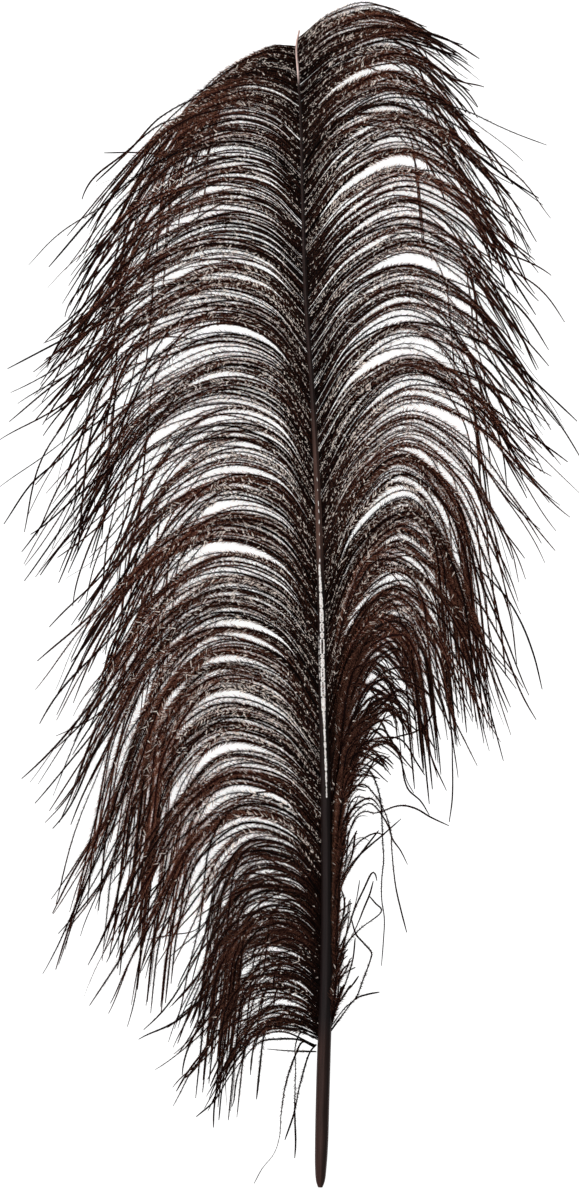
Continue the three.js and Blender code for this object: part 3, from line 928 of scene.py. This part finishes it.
def shaft_finish():
    """Dark horn: brown at the quill, near-black above it, brown again higher up, pale at the tip as a painted
    highlight, and lengthwise bands of painted highlight and painted shade around it.
    """
    finish = Finish("shaft", roughness=0.45, specular=0.12)
    u, v = finish.place()
    low, high = SHAFT[0, 0], SHAFT[-1, 0]
    horn = finish.ramp(v, *(((place - low) / (high - low), colour) for place, colour in (
        (low, (0.022, 0.010, 0.008)),
        (46, (0.014, 0.0062, 0.0048)),
        (62, (0.006, 0.0035, 0.0035)),
        (300, (0.008, 0.004, 0.0035)),
        (325, (0.055, 0.029, 0.022)),
        (372, (0.036, 0.018, 0.014)),
        (400, (0.011, 0.005, 0.004)),
        (574, (0.012, 0.006, 0.005)),
        # A painted highlight: the pale tip stands for light glancing off the shaft's curve there.
        (582, (0.50, 0.38, 0.35)),
        (597, (0.35, 0.24, 0.21)),
    )))
    # Painted highlights and painted shade: lighter and darker lengthwise bands around the shaft, where its
    # ridges and edges catch or turn from the light.
    painted_light_bands = [
        (0, 0.35), (0.05, 1.7), (0.12, 0.8), (0.36, 0.9), (0.5, 1.9), (0.62, 0.9), (0.84, 0.5), (0.92, 2.4),
        (0.97, 0.4),
    ]
    brightest = max(level for _, level in painted_light_bands)
    aside = finish.between(finish.math("COSINE", finish.product(u, 2 * math.pi)), 0.5, 1.0)
    painted_light_band = finish.ramp(aside, *greys((place, level / brightest) for place, level in painted_light_bands))
    along = finish.product(v, high - low)
    streaks = finish.noise(u, along, x_grains=46.0, y_grains=0.06)
    specks = finish.noise(u, along, x_grains=30.0, y_grains=1.6, detail=4.0)
    marks = finish.product(finish.between(streaks, 0.2, 1.9), finish.between(specks, 0.5, 1.5))
    finish.bumped(streaks, strength=0.35, depth=0.15 * MM)
    return finish.coloured(finish.scaled(horn, finish.product(painted_light_band, brightest, marks)))


def ridge_shine_finish():
    """A painted highlight along the shaft's ridge: near-white horn with brown cracks and stains."""
    finish = Finish("painted_ridge_shine", roughness=0.55, specular=0.2)
    u, v = finish.place()
    stain = finish.noise(u, v, x_grains=14.0, y_grains=110.0, detail=4.0)
    return finish.coloured(finish.ramp(
        stain,
        (0.3, (0.16, 0.09, 0.07)),
        (0.4, (0.62, 0.52, 0.46)),
        (0.5, (0.93, 0.90, 0.87)),
        (0.75, (1.0, 0.98, 0.96)),
    ))


def floor_and_light():
    bpy.ops.mesh.primitive_plane_add(size=12)
    floor = bpy.context.object
    floor.name = "floor"
    finish = Finish("floor", roughness=0.9, specular=0.2)
    finish.shader.inputs["Base Color"].default_value = (0.2, 0.2, 0.2, 1)
    finish.shader.inputs["Emission Color"].default_value = (1, 1, 1, 1)
    finish.shader.inputs["Emission Strength"].default_value = 1
    floor.data.materials.append(finish.material)
    sun = bpy.data.objects.new("soft_light", bpy.data.lights.new("soft_light", "SUN"))
    sun.data.energy = 1.6
    sun.data.angle = math.radians(50)
    sun.rotation_euler = (math.radians(-12), math.radians(-14), 0)
    bpy.context.collection.objects.link(sun)
    world = bpy.data.worlds.new("studio")
    bpy.context.scene.world = world
    world.use_nodes = True
    world.node_tree.nodes["Background"].inputs["Color"].default_value = (1, 1, 1, 1)
    world.node_tree.nodes["Background"].inputs["Strength"].default_value = 0.45
    bpy.context.scene.view_settings.view_transform = "Standard"


def camera():
    """Straight above the plume, which it sees at the size that it has in the photograph."""
    pixel = 0.55
    pixels_wide, pixels_high = 579, 1200
    shaft_column, ground_row = 322, 1130
    frame_centre = ((pixels_wide / 2 - shaft_column) * pixel, (ground_row - pixels_high / 2) * pixel)
    made = bpy.data.objects.new("camera", bpy.data.cameras.new("camera"))
    made.data.sensor_width = 36
    made.data.lens = 100
    vane_height = 12
    height = pixels_high * pixel * made.data.lens / made.data.sensor_width + vane_height
    made.location = (frame_centre[0] * MM, frame_centre[1] * MM, height * MM)
    bpy.context.collection.objects.link(made)
    bpy.context.scene.camera = made


camera()
floor_and_light()
horn, ridge_shine, barbs = shaft_finish(), ridge_shine_finish(), barb_finish()
piece("shaft", *shaft_mesh(), horn, "shaft")
# The painted highlight along the ridge, as pale flakes standing on the shaft.
piece("shaft_painted_shine", *joined(
    flakes(RIDGE_HIGHLIGHT, lengths=(1.5, 9), gaps=(0.05, 0.4)),
    flakes(EDGE_HIGHLIGHT, lengths=(1, 4), gaps=(0.2, 1.0)),
    flakes(HIGHLIGHT_FLECKS, lengths=(1, 3), gaps=(1.5, 6)),
), ridge_shine, "shaft")
vanes = {
    "left": Vane(LEFT, LEFT_ARCHES, LEFT_PARTINGS, LEFT_GAPS, LEFT_TEMPER),
    "right": Vane(RIGHT, RIGHT_ARCHES, RIGHT_PARTINGS, RIGHT_GAPS, RIGHT_TEMPER),
}
for side, vane in vanes.items():
    bounds = vane.first + (vane.last - vane.first) * PIECE_BOUNDS
    for name, low, high in zip(("low", "middle", "high"), bounds[:-1], bounds[1:]):
        piece(f"{side}_barbs_{name}", *downy_mesh(grown(vane, low, high)), barbs, "barbs")
piece("left_barbs_loose", *downy_mesh(laid(LOOSE_LEFT)), barbs, "barbs")
piece("right_barbs_loose", *downy_mesh(laid(LOOSE_RIGHT)), barbs, "barbs")
